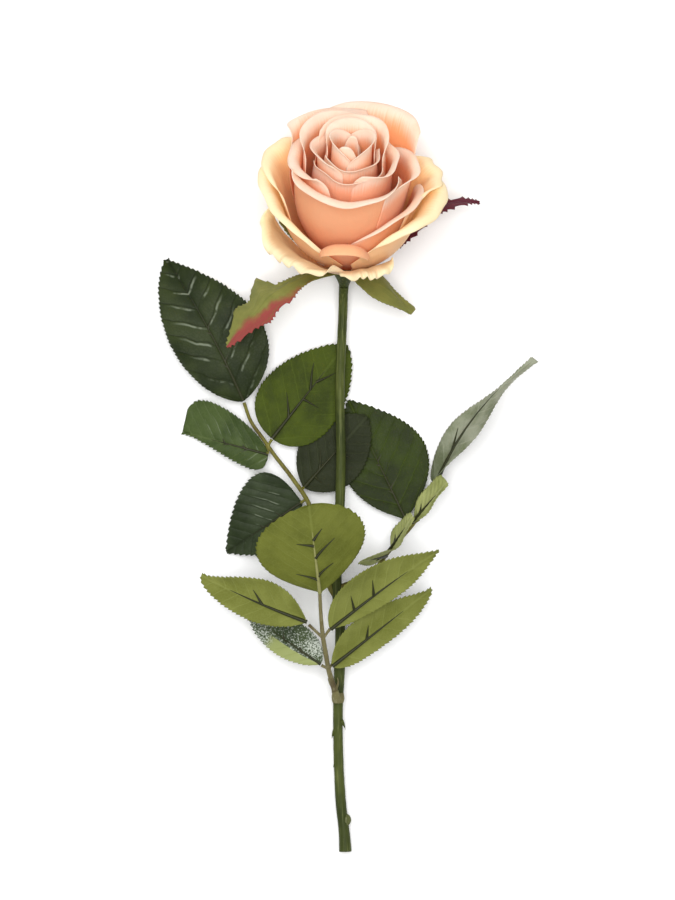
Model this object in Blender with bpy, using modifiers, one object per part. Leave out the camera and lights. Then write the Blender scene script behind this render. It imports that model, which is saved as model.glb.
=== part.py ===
"""One cut rose lying on a flat surface: bloom, stem and three compound leaves.

Metres, +Z up. The stem runs along +Y, the bloom lifts off the surface and faces up and forward.
Lengths below are millimetres and are scaled once, when a mesh is made.
"""
import math

import bmesh
import bpy
import numpy as np
from mathutils import Vector

MM = 0.001

# ---- driving dimensions, millimetres and degrees ----
SHIFT = (0.56, -0.45, -0.15)       # moves the drawing so its bounding box is centred over the origin
FLOWER_BASE = (-1.6, 112.6, 20.0)  # where the petals join the receptacle
FLOWER_TILT = 36.5                 # rise of the flower's axis above the surface
FLOWER_LEAN = 3.0                  # lean of the flower's axis to the right
PETAL_THICK = 0.4
SEPAL_THICK = 0.7
LEAF_THICK = 0.5

PARTS = bpy.data.collections.new("cut_rose")
CUTTERS = bpy.data.collections.new("cutters")


def clear_scene():
    """Empty the start-up scene and link the two collections."""
    for obj in list(bpy.data.objects):
        bpy.data.objects.remove(obj, do_unlink=True)
    for collection in (PARTS, CUTTERS):
        bpy.context.scene.collection.children.link(collection)
    CUTTERS.hide_render = True


def material(name, colour, roughness):
    """A plain Principled material for one piece."""
    mat = bpy.data.materials.new(name)
    mat.use_nodes = True
    shader = mat.node_tree.nodes["Principled BSDF"]
    shader.inputs["Base Color"].default_value = (*colour, 1.0)
    shader.inputs["Roughness"].default_value = roughness
    return mat


def add_object(name, mesh, slot, collection=PARTS):
    """Link a mesh as a named object with its material."""
    obj = bpy.data.objects.new(name, mesh)
    collection.objects.link(obj)
    mesh.materials.clear()
    mesh.materials.append(slot)
    return obj


def bake(obj):
    """Turn an object's curve and modifiers into a plain, welded, outward-facing mesh."""
    bpy.context.view_layer.update()
    evaluated = obj.evaluated_get(bpy.context.evaluated_depsgraph_get())
    mesh = bpy.data.meshes.new_from_object(evaluated)
    mesh.transform(obj.matrix_world)
    edit = bmesh.new()
    edit.from_mesh(mesh)
    bmesh.ops.remove_doubles(edit, verts=edit.verts, dist=1e-6)
    bmesh.ops.recalc_face_normals(edit, faces=edit.faces)
    edit.to_mesh(mesh)
    edit.free()
    return mesh


def sheet(name, columns, rows, shape, thickness, slot):
    """A thin curved sheet: a grid bent by shape(u, v), then given thickness by Solidify.

    u runs across from -1 to 1, v runs from the base, 0, to the tip, 1.
    """
    edit = bmesh.new()
    bmesh.ops.create_grid(edit, x_segments=columns, y_segments=rows, size=1.0)
    flat = np.array([vert.co[:] for vert in edit.verts])
    bent = shape(flat[:, 0], 0.5 + 0.5 * flat[:, 1])
    for vert, place in zip(edit.verts, bent):
        vert.co = Vector(place + np.array(SHIFT)) * MM
    mesh = bpy.data.meshes.new(name + "_sheet")
    edit.to_mesh(mesh)
    edit.free()
    obj = add_object(name, mesh, slot)
    skin = obj.modifiers.new("thickness", "SOLIDIFY")
    skin.thickness = thickness * MM
    skin.offset = 0.0
    skin.use_even_offset = False
    obj.data = bake(obj)
    obj.modifiers.clear()
    return obj


def smooth_path(points, count):
    """Points on a smooth line through the given ones, evenly spaced along their length."""
    points = np.array(points, float)
    steps = np.linalg.norm(np.diff(points[:, :3], axis=0), axis=1)
    along = np.concatenate([[0.0], np.cumsum(steps)])
    slopes = np.gradient(points, along, axis=0)
    result = []
    for place in np.linspace(0.0, along[-1], count):
        i = min(int(np.searchsorted(along, place, side="right")) - 1, len(points) - 2)
        width = along[i + 1] - along[i]
        t = (place - along[i]) / width
        ends = (2 * t**3 - 3 * t**2 + 1) * points[i] + (3 * t**2 - 2 * t**3) * points[i + 1]
        bends = (t**3 - 2 * t**2 + t) * slopes[i] + (t**3 - t**2) * slopes[i + 1]
        result.append(ends + bends * width)
    return np.array(result)


def tube(name, points, count, sides, slot, collection=PARTS):
    """A round stalk along a smooth line; each point is x, y, z and radius."""
    curve = bpy.data.curves.new(name, "CURVE")
    curve.dimensions = "3D"
    curve.bevel_depth = MM
    curve.bevel_resolution = (sides - 4) // 2
    curve.use_fill_caps = True
    curve.render_resolution_u = 0
    path = smooth_path(points, count)
    spline = curve.splines.new("POLY")
    spline.points.add(count - 1)
    for point, (x, y, z, radius) in zip(spline.points, path):
        point.co = (*((np.array([x, y, z]) + SHIFT) * MM), 1.0)
        point.radius = radius
    line = bpy.data.objects.new(name + "_line", curve)
    collection.objects.link(line)
    mesh = bake(line)
    bpy.data.objects.remove(line, do_unlink=True)
    return add_object(name, mesh, slot, collection)


def unite(target, others):
    """Join overlapping solids into one with exact Booleans."""
    for other in others:
        union = target.modifiers.new("union", "BOOLEAN")
        union.operation = "UNION"
        union.solver = "EXACT"
        union.object = other
        other.display_type = "WIRE"
        target.data = bake(target)
        target.modifiers.clear()
    return target


# ---- the flower's own frame: across, toward the surface side, along the axis ----
def flower_place(radius, angle, height):
    """World position of a point given round the flower's axis; angle in radians."""
    tilt = math.radians(FLOWER_TILT)
    lean = math.radians(FLOWER_LEAN)
    across = radius * np.cos(angle)
    under = radius * np.sin(angle)
    x = across
    y = under * math.sin(tilt) + height * math.cos(tilt)
    z = height * math.sin(tilt) - under * math.cos(tilt)
    turned = np.stack([x * math.cos(lean) + y * math.sin(lean),
                       y * math.cos(lean) - x * math.sin(lean), z], axis=-1)
    return turned + np.array(FLOWER_BASE)


def ease(value, start, end):
    """Smooth step from 0 at start to 1 at end."""
    t = np.clip((value - start) / (end - start), 0.0, 1.0)
    return t * t * (3.0 - 2.0 * t)


LAYERS = (0.0, 5.0, 10.0, 14.0, 18.0, 25.0)
LEANS = (
    (0.0, (14.0, 22.0, 34.0, 46.0, 56.0, 70.0)),
    (24.0, (5.0, 10.0, 22.0, 33.0, 40.0, 50.0)),
    (48.0, (0.0, 1.0, 3.0, 6.0, 8.0, 14.0)),
    (68.0, (-3.0, -3.0, -2.0, 2.0, 12.0, 45.0)),
    (90.0, (-3.0, -3.0, 0.0, 10.0, 40.0, 95.0)),
)


def nest_lean(along, layer):
    """Angle from the flower's axis at a distance along a petal, in degrees."""
    places = [place for place, _ in LEANS]
    return np.interp(along, places, [np.interp(layer, LAYERS, row) for _, row in LEANS])


def petal_shape(turn, layer, half_width, length, rnd=0.2, curl=0.0, roll=0.22, tip=0.0,
                spiral=0.0, slant=0.0, top=0.92):
    """Bending function of one petal.

    turn is its middle's angle round the axis. rnd rounds its corners, curl turns the last roll
    share of it outward, tip draws the rim to a point, slant makes one side longer and top is the
    rim's width as a share of the widest place.
    """
    widths = np.array([0.05, 0.15, 0.44, 0.80, 1.0, 0.5 + 0.5 * top, top])
    width_knots = np.array([0.0, 0.12, 0.26, 0.46, 0.7, 0.88, 1.0])
    foot = 1.2 + 0.216 * layer
    rise = 3.2 - 0.136 * layer

    def slope(v, u, reach):
        angle = nest_lean(v * reach, layer)
        return np.radians(angle + curl * (1.0 - u**4) * ease(v, 1.0 - roll, 1.02))

    def shape(u, v):
        corners = rnd * np.abs(u) ** 2.6
        reach = length * (1.0 - corners + slant * u + tip * np.exp(-((u / 0.22) ** 2)))
        steps = (np.arange(40) + 0.5) / 40.0
        fine = v[:, None] * steps[None, :]
        bend = slope(fine, u[:, None], reach[:, None])
        radius = foot + reach * v * np.sin(bend).mean(axis=1)
        height = rise + reach * v * np.cos(bend).mean(axis=1)
        middle = slope(fine, 0.0 * fine, length)
        core = np.maximum(foot + length * v * np.sin(middle).mean(axis=1), 1.6)
        spread = np.minimum(half_width * np.interp(v, width_knots, widths) / core, 2.35)
        angle = math.radians(turn) + u * spread
        radius = radius + spiral * u * ease(v, 0.0, 0.5)
        return flower_place(radius, angle, height)

    return shape


# ---- petals from the tight middle outward ----
OUTER_WORDS = ("guard", "low", "roll")
PETALS = (
    ("petal_core", dict(turn=80, layer=0, half_width=9, length=74, spiral=1.0, top=0.6)),
    ("petal_heart", dict(turn=-110, layer=1.4, half_width=11, length=75, top=0.7)),
    ("petal_vee_left", dict(turn=172, layer=4, half_width=20, length=78, rnd=0.1)),
    ("petal_vee_right", dict(turn=8, layer=5, half_width=21, length=79, rnd=0.1)),
    ("petal_vee_back", dict(turn=92, layer=6, half_width=24, length=82, rnd=0.08)),
    ("petal_ring_a", dict(turn=-72, layer=7, half_width=28, length=72, rnd=0.0)),
    ("petal_left_in", dict(turn=165, layer=8, half_width=28, length=76, rnd=0.06)),
    ("petal_back_in", dict(turn=76, layer=9, half_width=32, length=83, rnd=0.06)),
    ("petal_ring_b", dict(turn=-95, layer=10, half_width=32, length=70, rnd=0.0)),
    ("petal_right_in", dict(turn=-12, layer=11, half_width=30, length=75, rnd=0.04)),
    ("petal_back_mid", dict(turn=122, layer=12, half_width=34, length=84, rnd=0.08)),
    ("petal_left_curl", dict(turn=186, layer=12.7, half_width=30, length=77, rnd=0.05, curl=30)),
    ("petal_front", dict(turn=-92, layer=14.3, half_width=43, length=73, rnd=-0.02, curl=30,
                         roll=0.16, slant=-0.02)),
    ("petal_right_mid", dict(turn=0, layer=15.3, half_width=30, length=74, rnd=0.08)),
    ("petal_back_left", dict(turn=117, layer=15.9, half_width=31, length=87)),
    ("petal_back_tall", dict(turn=70, layer=17.3, half_width=40, length=89, rnd=0.14, tip=0.03,
                             slant=-0.02)),
    ("petal_fold_right", dict(turn=-40, layer=18, half_width=30, length=62, rnd=0.12, curl=25,
                              slant=0.14)),
    ("petal_guard_left", dict(turn=155, layer=18.6, half_width=34, length=76, curl=24, roll=0.4)),
    ("petal_roll_front", dict(turn=-91, layer=19.1, half_width=13, length=57, rnd=0.5, curl=45,
                              roll=0.36)),
    ("petal_guard_right", dict(turn=13, layer=19.3, half_width=32, length=74, curl=24, roll=0.4)),
    ("petal_guard_front_left", dict(turn=206, layer=20.8, half_width=38, length=67, rnd=0.2,
                                    curl=30, roll=0.3, slant=-0.22)),
    ("petal_guard_front_right", dict(turn=-29, layer=21.8, half_width=36, length=72, curl=45,
                                     roll=0.3, slant=0.16)),
    ("petal_low_right", dict(turn=-71, layer=23.4, half_width=17, length=41, rnd=0.2, curl=84,
                             roll=0.4, slant=0.12)),
    ("petal_low_left", dict(turn=230, layer=24.4, half_width=21, length=47, rnd=0.15, curl=84,
                            roll=0.45, slant=-0.2)),
    ("petal_back_low_left", dict(turn=128, layer=23.8, half_width=30, length=70, curl=50,
                                 roll=0.6)),
    ("petal_back_low_right", dict(turn=53, layer=25, half_width=30, length=68, curl=41, roll=0.6)),
)


# ---- leaflets ----
def leaf_outline(v, fullness):
    """Half width of a leaflet along its midrib, as a share of the widest."""
    start = 0.50 + 0.1 * fullness
    end = 0.80
    peak = (start / (start + end)) ** start * (end / (start + end)) ** end
    return np.clip(v, 1e-4, 1) ** start * np.clip(1 - v, 1e-4, 1) ** end / peak


def leaf_shape(base, tip, half_width, roll=0.0, arch=0.0, bend=0.0, fold=0.0, wave=0.0,
               fullness=0.0):
    """Bending function of one leaflet from its base to its tip.

    roll turns the blade about its midrib, arch bows the midrib off the blade, bend bows it
    sideways, fold closes the halves like a book, wave ripples the margin.
    """
    base = np.array(base, float)
    tip = np.array(tip, float)
    along = tip - base
    length = np.linalg.norm(along)
    along = along / length
    side = np.cross(along, [0.0, 0.0, 1.0])
    side = side / np.linalg.norm(side)
    up = np.cross(side, along)
    turn = math.radians(roll)
    across = math.cos(turn) * side + math.sin(turn) * up
    normal = math.cos(turn) * up - math.sin(turn) * side

    def shape(u, v):
        half = np.maximum(half_width * leaf_outline(v, fullness), 0.7)
        lift = math.radians(fold) * np.abs(u)
        bow = 4.0 * v * (1.0 - v)
        middle = base + np.outer(v * length, along)
        middle = middle + np.outer(bow * arch, up) + np.outer(bow * bend, side)
        out = (half * u * np.cos(lift))[:, None] * across
        raised = half * np.abs(u) * np.sin(lift) + wave * u * u * np.sin(9.0 * v + 1.5 * u)
        return middle + out + raised[:, None] * normal

    return shape


def sepal_shape(turn, half_width, length, lean):
    """Bending function of one sepal, widest near its base and drawn out to a narrow end."""
    knots = np.array([0.0, 0.3, 0.6, 1.0])
    widths = np.array([0.5, 1.0, 0.82, 0.5, 0.16])
    width_knots = np.array([0.0, 0.22, 0.5, 0.75, 1.0])

    def shape(u, v):
        steps = (np.arange(40) + 0.5) / 40.0
        bend = np.radians(np.interp(v[:, None] * steps[None, :], knots, lean))
        radius = 7.5 + length * v * np.sin(bend).mean(axis=1)
        height = -1.6 + length * v * np.cos(bend).mean(axis=1)
        aside = half_width * np.interp(v, width_knots, widths) * u
        angle = math.radians(turn) + np.arctan2(aside, radius)
        return flower_place(radius, angle, height)

    return shape


SEPALS = (
    ("sepal_right", dict(turn=-36, half_width=6.5, length=45, lean=(96, 112, 122, 126))),
    ("sepal_left", dict(turn=214, half_width=7.0, length=68, lean=(92, 104, 112, 110))),
    ("sepal_side_right", dict(turn=15, half_width=5.0, length=70, lean=(86, 66, 66, 76))),
    ("sepal_side_left", dict(turn=155, half_width=5.0, length=57, lean=(78, 58, 44, 42))),
    ("sepal_under", dict(turn=92, half_width=5.0, length=30, lean=(74, 64, 56, 52))),
)

# x, y, z and radius along the stem, from the cut end to just under the flower
STEM = (
    (-1.4, -200.1, 3.5, 3.35), (-1.6, -194.8, 3.6, 3.1), (-4.0, -171.5, 4.6, 2.8),
    (-4.8, -156.1, 5.4, 2.65), (-5.3, -124.8, 7.6, 2.65), (-4.5, -101.5, 9.6, 2.95),
    (-4.2, -79.2, 10.8, 2.7), (-6.1, -57.0, 11.2, 2.85), (-4.2, -11.9, 10.8, 2.6),
    (-3.7, 12.5, 10.6, 2.55), (-4.3, 44.8, 10.2, 2.5), (-3.6, 66.0, 9.0, 2.45),
    (-3.0, 80.0, 8.0, 2.45), (-2.6, 90.0, 8.0, 2.45), (-2.4, 97.0, 9.6, 2.5),
    (-2.2, 101.6, 12.4, 2.6),
)

# base point, tip point and base radius of each prickle and of the old leaf scar
PRICKLES = (
    ((-3.5, -130.4, 8.3), (1.4, -133.6, 9.6), 1.5),
    ((-6.6, -135.0, 7.6), (-10.8, -138.2, 8.6), 1.6),
    ((-6.0, -151.6, 6.4), (-9.0, -153.4, 7.6), 1.2),
    ((-3.2, -165.0, 5.0), (-0.2, -167.2, 5.8), 1.4),
    ((-2.2, -181.6, 4.2), (2.0, -184.2, 4.6), 1.9),
    ((-3.0, -192.6, 4.2), (-6.2, -195.4, 4.6), 1.4),
)

LEFT_STALK = (
    (-10.6, -58.0, 11.2, 1.6), (-12.4, -50.0, 11.0, 1.4), (-16.4, -32.0, 10.4, 1.25),
    (-21.2, -13.5, 9.8, 1.2), (-29.2, -1.3, 9.2, 1.15), (-39.8, 12.5, 8.6, 1.05),
    (-45.3, 20.4, 8.0, 1.0), (-51.9, 29.9, 7.4, 0.95), (-55.4, 39.6, 7.0, 0.9),
)
RIGHT_STALK = (
    (-1.9, -57.2, 11.3, 1.6), (4.0, -53.2, 11.5, 1.35), (13.8, -46.9, 11.8, 1.25),
    (20.1, -41.6, 12.0, 1.2), (35.0, -24.6, 12.4, 1.05), (46.8, -5.8, 12.8, 0.9),
)
FRONT_STALK = (
    (-6.0, -117.4, 13.2, 1.7), (-8.0, -110.0, 17.0, 1.5), (-10.1, -102.6, 22.0, 1.35),
    (-11.7, -93.5, 29.0, 1.25), (-13.2, -84.0, 35.0, 1.2), (-14.3, -71.8, 41.0, 1.0),
    (-14.8, -61.0, 45.0, 0.95),
)

# short side stalks that carry the paired leaflets: start point and end point
LEFT_SIDES = (
    ((-43.0, 17.2, 8.3), (-46.4, 18.4, 8.3)),
    ((-42.6, 16.6, 8.3), (-40.6, 20.0, 8.0)),
    ((-23.0, -11.0, 9.7), (-26.2, -13.2, 9.2)),
    ((-25.2, -7.4, 9.5), (-22.4, -5.6, 8.0)),
)
RIGHT_SIDES = (
    ((35.0, -24.6, 12.4), (37.6, -22.6, 14.8)),
    ((34.4, -25.2, 12.4), (32.0, -22.4, 8.6)),
    ((20.4, -41.4, 12.0), (22.6, -38.6, 14.8)),
    ((19.8, -41.9, 12.0), (17.4, -42.8, 14.8)),
)
FRONT_SIDES = (
    ((-13.1, -84.6, 34.6), (-20.6, -77.6, 36.0)),
    ((-13.1, -84.6, 34.6), (-9.6, -79.8, 36.6)),
    ((-10.3, -101.6, 22.8), (-14.0, -99.6, 23.4)),
    ((-10.3, -101.6, 22.8), (-8.0, -98.4, 23.6)),
)

LEAFLETS = (
    ("left_leaf_end", dict(base=(-55.8, 40.6, 7.0), tip=(-97.0, 115.3, 1.2), half_width=21.5,
                           arch=7, bend=-2, fold=6, wave=1.0, fullness=1.0)),
    ("left_leaf_upper_out", dict(base=(-46.9, 18.6, 8.3), tip=(-88.5, 24.1, 1.0),
                                 half_width=11.5, arch=4, bend=-2, fold=8, wave=0.6)),
    ("left_leaf_upper_in", dict(base=(-40.4, 20.5, 7.6), tip=(-1.1, 70.8, 4.6),
                                half_width=16, arch=-1.4, bend=2, fold=0, wave=0.4)),
    ("left_leaf_lower_out", dict(base=(-26.7, -13.5, 8.8), tip=(-64.7, -40.0, 1.0),
                                 half_width=14.5, arch=3, fold=6, wave=0.6)),
    ("left_leaf_lower_in", dict(base=(-22.1, -5.2, 7.6), tip=(10.1, 32.1, 4.2),
                                half_width=14, arch=-1.4, fold=0, wave=0.3)),
    ("right_leaf_end", dict(base=(47.2, -5.2, 12.9), tip=(99.1, 62.3, 9.0), half_width=19,
                            roll=64, arch=9, bend=2, fold=6, wave=2.0)),
    ("right_leaf_upper_out", dict(base=(37.9, -22.2, 15.2), tip=(52.5, -2.4, 24.0),
                                  half_width=11, roll=58, arch=2, fold=8)),
    ("right_leaf_upper_in", dict(base=(31.8, -22.0, 8.2), tip=(0.5, 40.0, 1.0),
                                 half_width=19, arch=-2.4, fold=0, wave=0.3)),
    ("right_leaf_lower_out", dict(base=(22.8, -38.3, 15.2), tip=(33.9, -18.3, 26.0),
                                  half_width=10, roll=60, arch=2, fold=8)),
    ("right_leaf_lower_in", dict(base=(17.1, -42.9, 15.2), tip=(5.8, -44.3, 38.0),
                                 half_width=11, roll=0, arch=2, fold=8)),
    ("front_leaf_end", dict(base=(-14.8, -60.2, 45.4), tip=(-20.7, -14.6, 58.0),
                            half_width=27, arch=4, fold=-6, wave=1.0, fullness=1.5)),
    ("front_leaf_upper_left", dict(base=(-21.1, -77.2, 36.2), tip=(-76.9, -52.2, 26.0),
                                   half_width=12.5, roll=20, arch=4, bend=-2, fold=10, wave=0.8)),
    ("front_leaf_upper_right", dict(base=(-9.3, -79.4, 37.0), tip=(47.7, -38.4, 32.0),
                                    half_width=12, roll=-30, arch=4, fold=10, wave=0.8)),
    ("front_leaf_lower_left", dict(base=(-14.5, -99.3, 23.5), tip=(-51.9, -73.9, 12.0),
                                   half_width=13, roll=10, arch=4, fold=8, wave=0.6)),
    ("front_leaf_lower_right", dict(base=(-7.7, -98.0, 24.0), tip=(43.5, -59.1, 19.0),
                                    half_width=11.5, roll=-25, arch=3, fold=10, wave=0.6)),
)

# receptacle outline: distance from the flower's axis and height along it
RECEPTACLE = (
    (0.0, -0.2), (5.6, -0.2), (6.7, -0.8), (6.9, -2.2), (6.3, -4.6), (4.8, -7.6),
    (3.3, -10.6), (2.7, -13.0), (0.0, -13.0),
)


def make_receptacle(slot):
    """The green cup under the petals, turned from its outline with Screw."""
    edit = bmesh.new()
    verts = [edit.verts.new((radius * MM, 0.0, height * MM)) for radius, height in RECEPTACLE]
    for first, second in zip(verts, verts[1:]):
        edit.edges.new((first, second))
    mesh = bpy.data.meshes.new("receptacle_outline")
    edit.to_mesh(mesh)
    edit.free()
    obj = add_object("receptacle", mesh, slot)
    turn = obj.modifiers.new("turn", "SCREW")
    turn.axis = "Z"
    turn.steps = 16
    turn.render_steps = 16
    turn.use_merge_vertices = True
    turn.merge_threshold = 0.00001
    baked = bake(obj)
    obj.modifiers.clear()
    for vert in baked.vertices:
        x, y, z = np.array(vert.co[:]) / MM
        place = flower_place(np.hypot(x, y), np.arctan2(y, x), z)
        vert.co = Vector(place + np.array(SHIFT)) * MM
    obj.data = baked
    return obj


def make_stem(slot):
    """The stem with its prickles and leaf scar grown out of it."""
    stem = tube("stem", STEM, 44, 12, slot)
    spikes = []
    for i, (base, tip, radius) in enumerate(PRICKLES):
        middle = [0.5 * (a + b) for a, b in zip(base, tip)]
        middle[1] += 0.5
        line = ((*base, radius), (*middle, radius * 0.5), (*tip, 0.18))
        spikes.append(tube("prickle_%d" % (i + 1), line, 5, 8, slot, CUTTERS))
    return unite(stem, spikes)


def make_stalk(name, line, sides, slot):
    """One leaf's stalk with the short side stalks that carry its paired leaflets."""
    stalk = tube(name, line, 22, 8, slot)
    branches = []
    for i, (start, end) in enumerate(sides):
        path = ((*start, 0.8), (*end, 0.7))
        branches.append(tube("%s_side_%d" % (name, i + 1), path, 3, 6, slot, CUTTERS))
    return unite(stalk, branches)


def build():
    """Make every piece of the rose."""
    clear_scene()
    petal_inner = material("petal_inner", (0.83, 0.28, 0.13), 0.6)
    petal_outer = material("petal_outer", (0.89, 0.60, 0.34), 0.6)
    sepal = material("sepal", (0.26, 0.22, 0.08), 0.6)
    stem = material("stem", (0.09, 0.10, 0.03), 0.5)
    leaf = material("leaf", (0.08, 0.12, 0.03), 0.45)
    for name, values in PETALS:
        slot = petal_outer if any(word in name for word in OUTER_WORDS) else petal_inner
        sheet(name, 8, 7, petal_shape(**values), PETAL_THICK, slot)
    for name, values in SEPALS:
        sheet(name, 4, 8, sepal_shape(**values), SEPAL_THICK, sepal)
    make_receptacle(stem)
    make_stem(stem)
    make_stalk("left_stalk", LEFT_STALK, LEFT_SIDES, stem)
    make_stalk("right_stalk", RIGHT_STALK, RIGHT_SIDES, stem)
    make_stalk("front_stalk", FRONT_STALK, FRONT_SIDES, stem)
    for name, values in LEAFLETS:
        sheet(name, 4, 8, leaf_shape(**values), LEAF_THICK, leaf)


build()
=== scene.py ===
# %% [markdown]
# # A cut rose, petal by petal
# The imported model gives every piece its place. This script keeps those places and gives each
# piece its real surface: thin rolled petals, toothed leaflets with ribs, a ridged stem and jagged
# sepals.

# %% Load the frame
import math

import bmesh
import bpy
import numpy as np
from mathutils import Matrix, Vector


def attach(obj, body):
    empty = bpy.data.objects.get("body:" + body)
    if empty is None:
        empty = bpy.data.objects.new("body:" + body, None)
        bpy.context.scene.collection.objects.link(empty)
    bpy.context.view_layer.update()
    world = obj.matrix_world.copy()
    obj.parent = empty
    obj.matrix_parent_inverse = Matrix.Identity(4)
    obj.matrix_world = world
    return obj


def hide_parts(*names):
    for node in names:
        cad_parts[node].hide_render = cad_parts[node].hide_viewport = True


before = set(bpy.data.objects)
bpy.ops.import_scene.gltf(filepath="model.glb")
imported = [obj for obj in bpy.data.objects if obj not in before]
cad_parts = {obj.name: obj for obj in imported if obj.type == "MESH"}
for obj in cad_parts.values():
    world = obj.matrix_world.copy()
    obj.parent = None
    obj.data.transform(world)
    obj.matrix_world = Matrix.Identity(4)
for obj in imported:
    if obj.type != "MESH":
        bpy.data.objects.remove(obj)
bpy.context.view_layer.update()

MM = 0.001

# %% [markdown]
# ## Shared measurements
# The flower has an axis of its own that rises from the surface. A point of the flower is easiest
# to give as a distance from that axis, an angle round it and a height along it. One function
# turns these three into a place in the room, so petals, sepals and receptacle all use it.

# %% The flower's own axis
# a small move that every finished piece shares, in millimetres
SHIFT = np.array((0.56, -0.45, -0.15))
FLOWER_BASE = np.array((-1.6, 112.6, 20.0))
FLOWER_TILT = math.radians(36.5)
FLOWER_LEAN = math.radians(3.0)


def flower_place(radius, angle, height):
    """Place of a point given round the flower's axis, in millimetres; angle in radians."""
    across = radius * np.cos(angle)
    under = radius * np.sin(angle)
    x = across
    y = under * math.sin(FLOWER_TILT) + height * math.cos(FLOWER_TILT)
    z = height * math.sin(FLOWER_TILT) - under * math.cos(FLOWER_TILT)
    turned_x = x * math.cos(FLOWER_LEAN) + y * math.sin(FLOWER_LEAN)
    turned_y = y * math.cos(FLOWER_LEAN) - x * math.sin(FLOWER_LEAN)
    return np.stack([turned_x, turned_y, z], axis=-1) + FLOWER_BASE


def ease(value, start, end):
    """Smooth step from 0 at start to 1 at end."""
    t = np.clip((value - start) / (end - start), 0.0, 1.0)
    return t * t * (3.0 - 2.0 * t)

# %% [markdown]
# ## Shader arithmetic
# Node trees get long when every sum is wired by hand. A small class wraps a node's output and
# overloads the arithmetic signs, so that a mask can be written as an ordinary expression.

# %% A wrapper for node sockets
class Flow:
    """A value in a node tree that can be added, multiplied and compared like a number."""

    def __init__(self, tree, socket):
        self.tree = tree
        self.socket = socket

    def _math(self, operation, first, second=None):
        node = self.tree.nodes.new("ShaderNodeMath")
        node.operation = operation
        for slot, value in zip(node.inputs, (first, second)):
            if isinstance(value, Flow):
                self.tree.links.new(value.socket, slot)
            elif value is not None:
                slot.default_value = value
        return Flow(self.tree, node.outputs[0])

    def __add__(self, other):
        return self._math("ADD", self, other)

    def __sub__(self, other):
        return self._math("SUBTRACT", self, other)

    def __rsub__(self, other):
        return self._math("SUBTRACT", other, self)

    def __mul__(self, other):
        return self._math("MULTIPLY", self, other)

    def __truediv__(self, other):
        return self._math("DIVIDE", self, other)

    def size(self):
        """The value without its sign."""
        return self._math("ABSOLUTE", self)

    def wave(self):
        """The sine of the value."""
        return self._math("SINE", self)


class Graph:
    """A node tree under construction, with a single method that adds any node."""

    def __init__(self, tree):
        self.tree = tree
        self.tree.nodes.clear()

    def add(self, kind, settings=None, inputs=None, output=0):
        """Add a node, set its settings and then its sockets, and return one output."""
        node = self.tree.nodes.new(kind)
        for key, value in (settings or {}).items():
            if key == "stops":
                fill_ramp(node.color_ramp, value)
            else:
                setattr(node, key, value)
        for key, value in (inputs or {}).items():
            if isinstance(value, Flow):
                self.tree.links.new(value.socket, node.inputs[key])
            else:
                node.inputs[key].default_value = value
        return Flow(self.tree, node.outputs[output]) if node.outputs else node


class Finish(Graph):
    """One material."""

    def __init__(self, name):
        self.material = bpy.data.materials.new(name)
        self.material.use_nodes = True
        super().__init__(self.material.node_tree)

    def ramp(self, factor, stops):
        """A colour that changes with factor; stops are place and colour pairs."""
        return self.add("ShaderNodeValToRGB", {"stops": stops}, {"Fac": factor})

    def step(self, value, low, high):
        """A smooth 0 to 1 mask as value goes from low to high."""
        settings = {"interpolation_type": "SMOOTHSTEP"}
        limits = {"Value": value, "From Min": low, "From Max": high}
        return self.add("ShaderNodeMapRange", settings, limits)

    def mix(self, factor, first, second, blend="MIX"):
        """Blend two colours."""
        settings = {"data_type": "RGBA", "blend_type": blend}
        return self.add("ShaderNodeMix", settings, {0: factor, 6: first, 7: second}, output=2)

    def noise(self, scale, detail=3.0, vector=None, stretch=None):
        """Fractal noise on the object's own coordinates, stretched if asked."""
        place = vector or self.add("ShaderNodeTexCoord", output=3)
        if stretch:
            place = self.add("ShaderNodeMapping", {}, {"Vector": place, "Scale": stretch})
        values = {"Vector": place, "Scale": scale, "Detail": detail}
        return self.add("ShaderNodeTexNoise", {}, values)

    def blade(self):
        """A sheet's own map: the whole place, then across and along it, each from 0 to 1."""
        place = self.add("ShaderNodeUVMap", {"uv_map": "blade"})
        across = self.add("ShaderNodeSeparateXYZ", {}, {"Vector": place})
        return place, across, Flow(self.tree, across.socket.node.outputs[1])

    def bump(self, height, strength, distance):
        """A normal bent by a height value."""
        values = {"Height": height, "Strength": strength, "Distance": distance}
        return self.add("ShaderNodeBump", {}, values)

    def paint(self, colour, roughness, normal, shine):
        """The material of an ordinary surface."""
        return self.finish(self.add("ShaderNodeBsdfPrincipled", {}, {
            "Base Color": colour, "Roughness": roughness, "Normal": normal,
            "Specular IOR Level": shine}))

    def finish(self, shader):
        """Wire the shader to the output and hand back the material."""
        self.add("ShaderNodeOutputMaterial", {}, {"Surface": shader})
        return self.material


def fill_ramp(ramp, stops):
    """Give a colour ramp its stops."""
    ramp.interpolation = "EASE"
    while len(ramp.elements) < len(stops):
        ramp.elements.new(0.5)
    for element, (place, colour) in zip(ramp.elements, stops):
        element.position = place
        element.color = colour


def tint(red, green, blue):
    """A linear colour from everyday 0 to 255 values."""
    def linear(value):
        share = value / 255.0
        return share / 12.92 if share <= 0.04045 else ((share + 0.055) / 1.055) ** 2.4

    return (linear(red), linear(green), linear(blue), 1.0)

# %% [markdown]
# ## A bent sheet
# Petals, sepals and leaflets are all thin sheets. Each begins as a flat grid, a rule bends it,
# and Solidify gives it thickness and puts a second finish on its back. The grid's own across and
# along values are kept as a UV map, so that a finish can follow the blade wherever it turns.

# %% Make a sheet
def mesh_from(edit, name):
    """A mesh from a finished edit."""
    mesh = bpy.data.meshes.new(name)
    edit.to_mesh(mesh)
    edit.free()
    return mesh


def add_object(name, data):
    """A new object in the scene."""
    obj = bpy.data.objects.new(name, data)
    bpy.context.scene.collection.objects.link(obj)
    return obj


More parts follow.
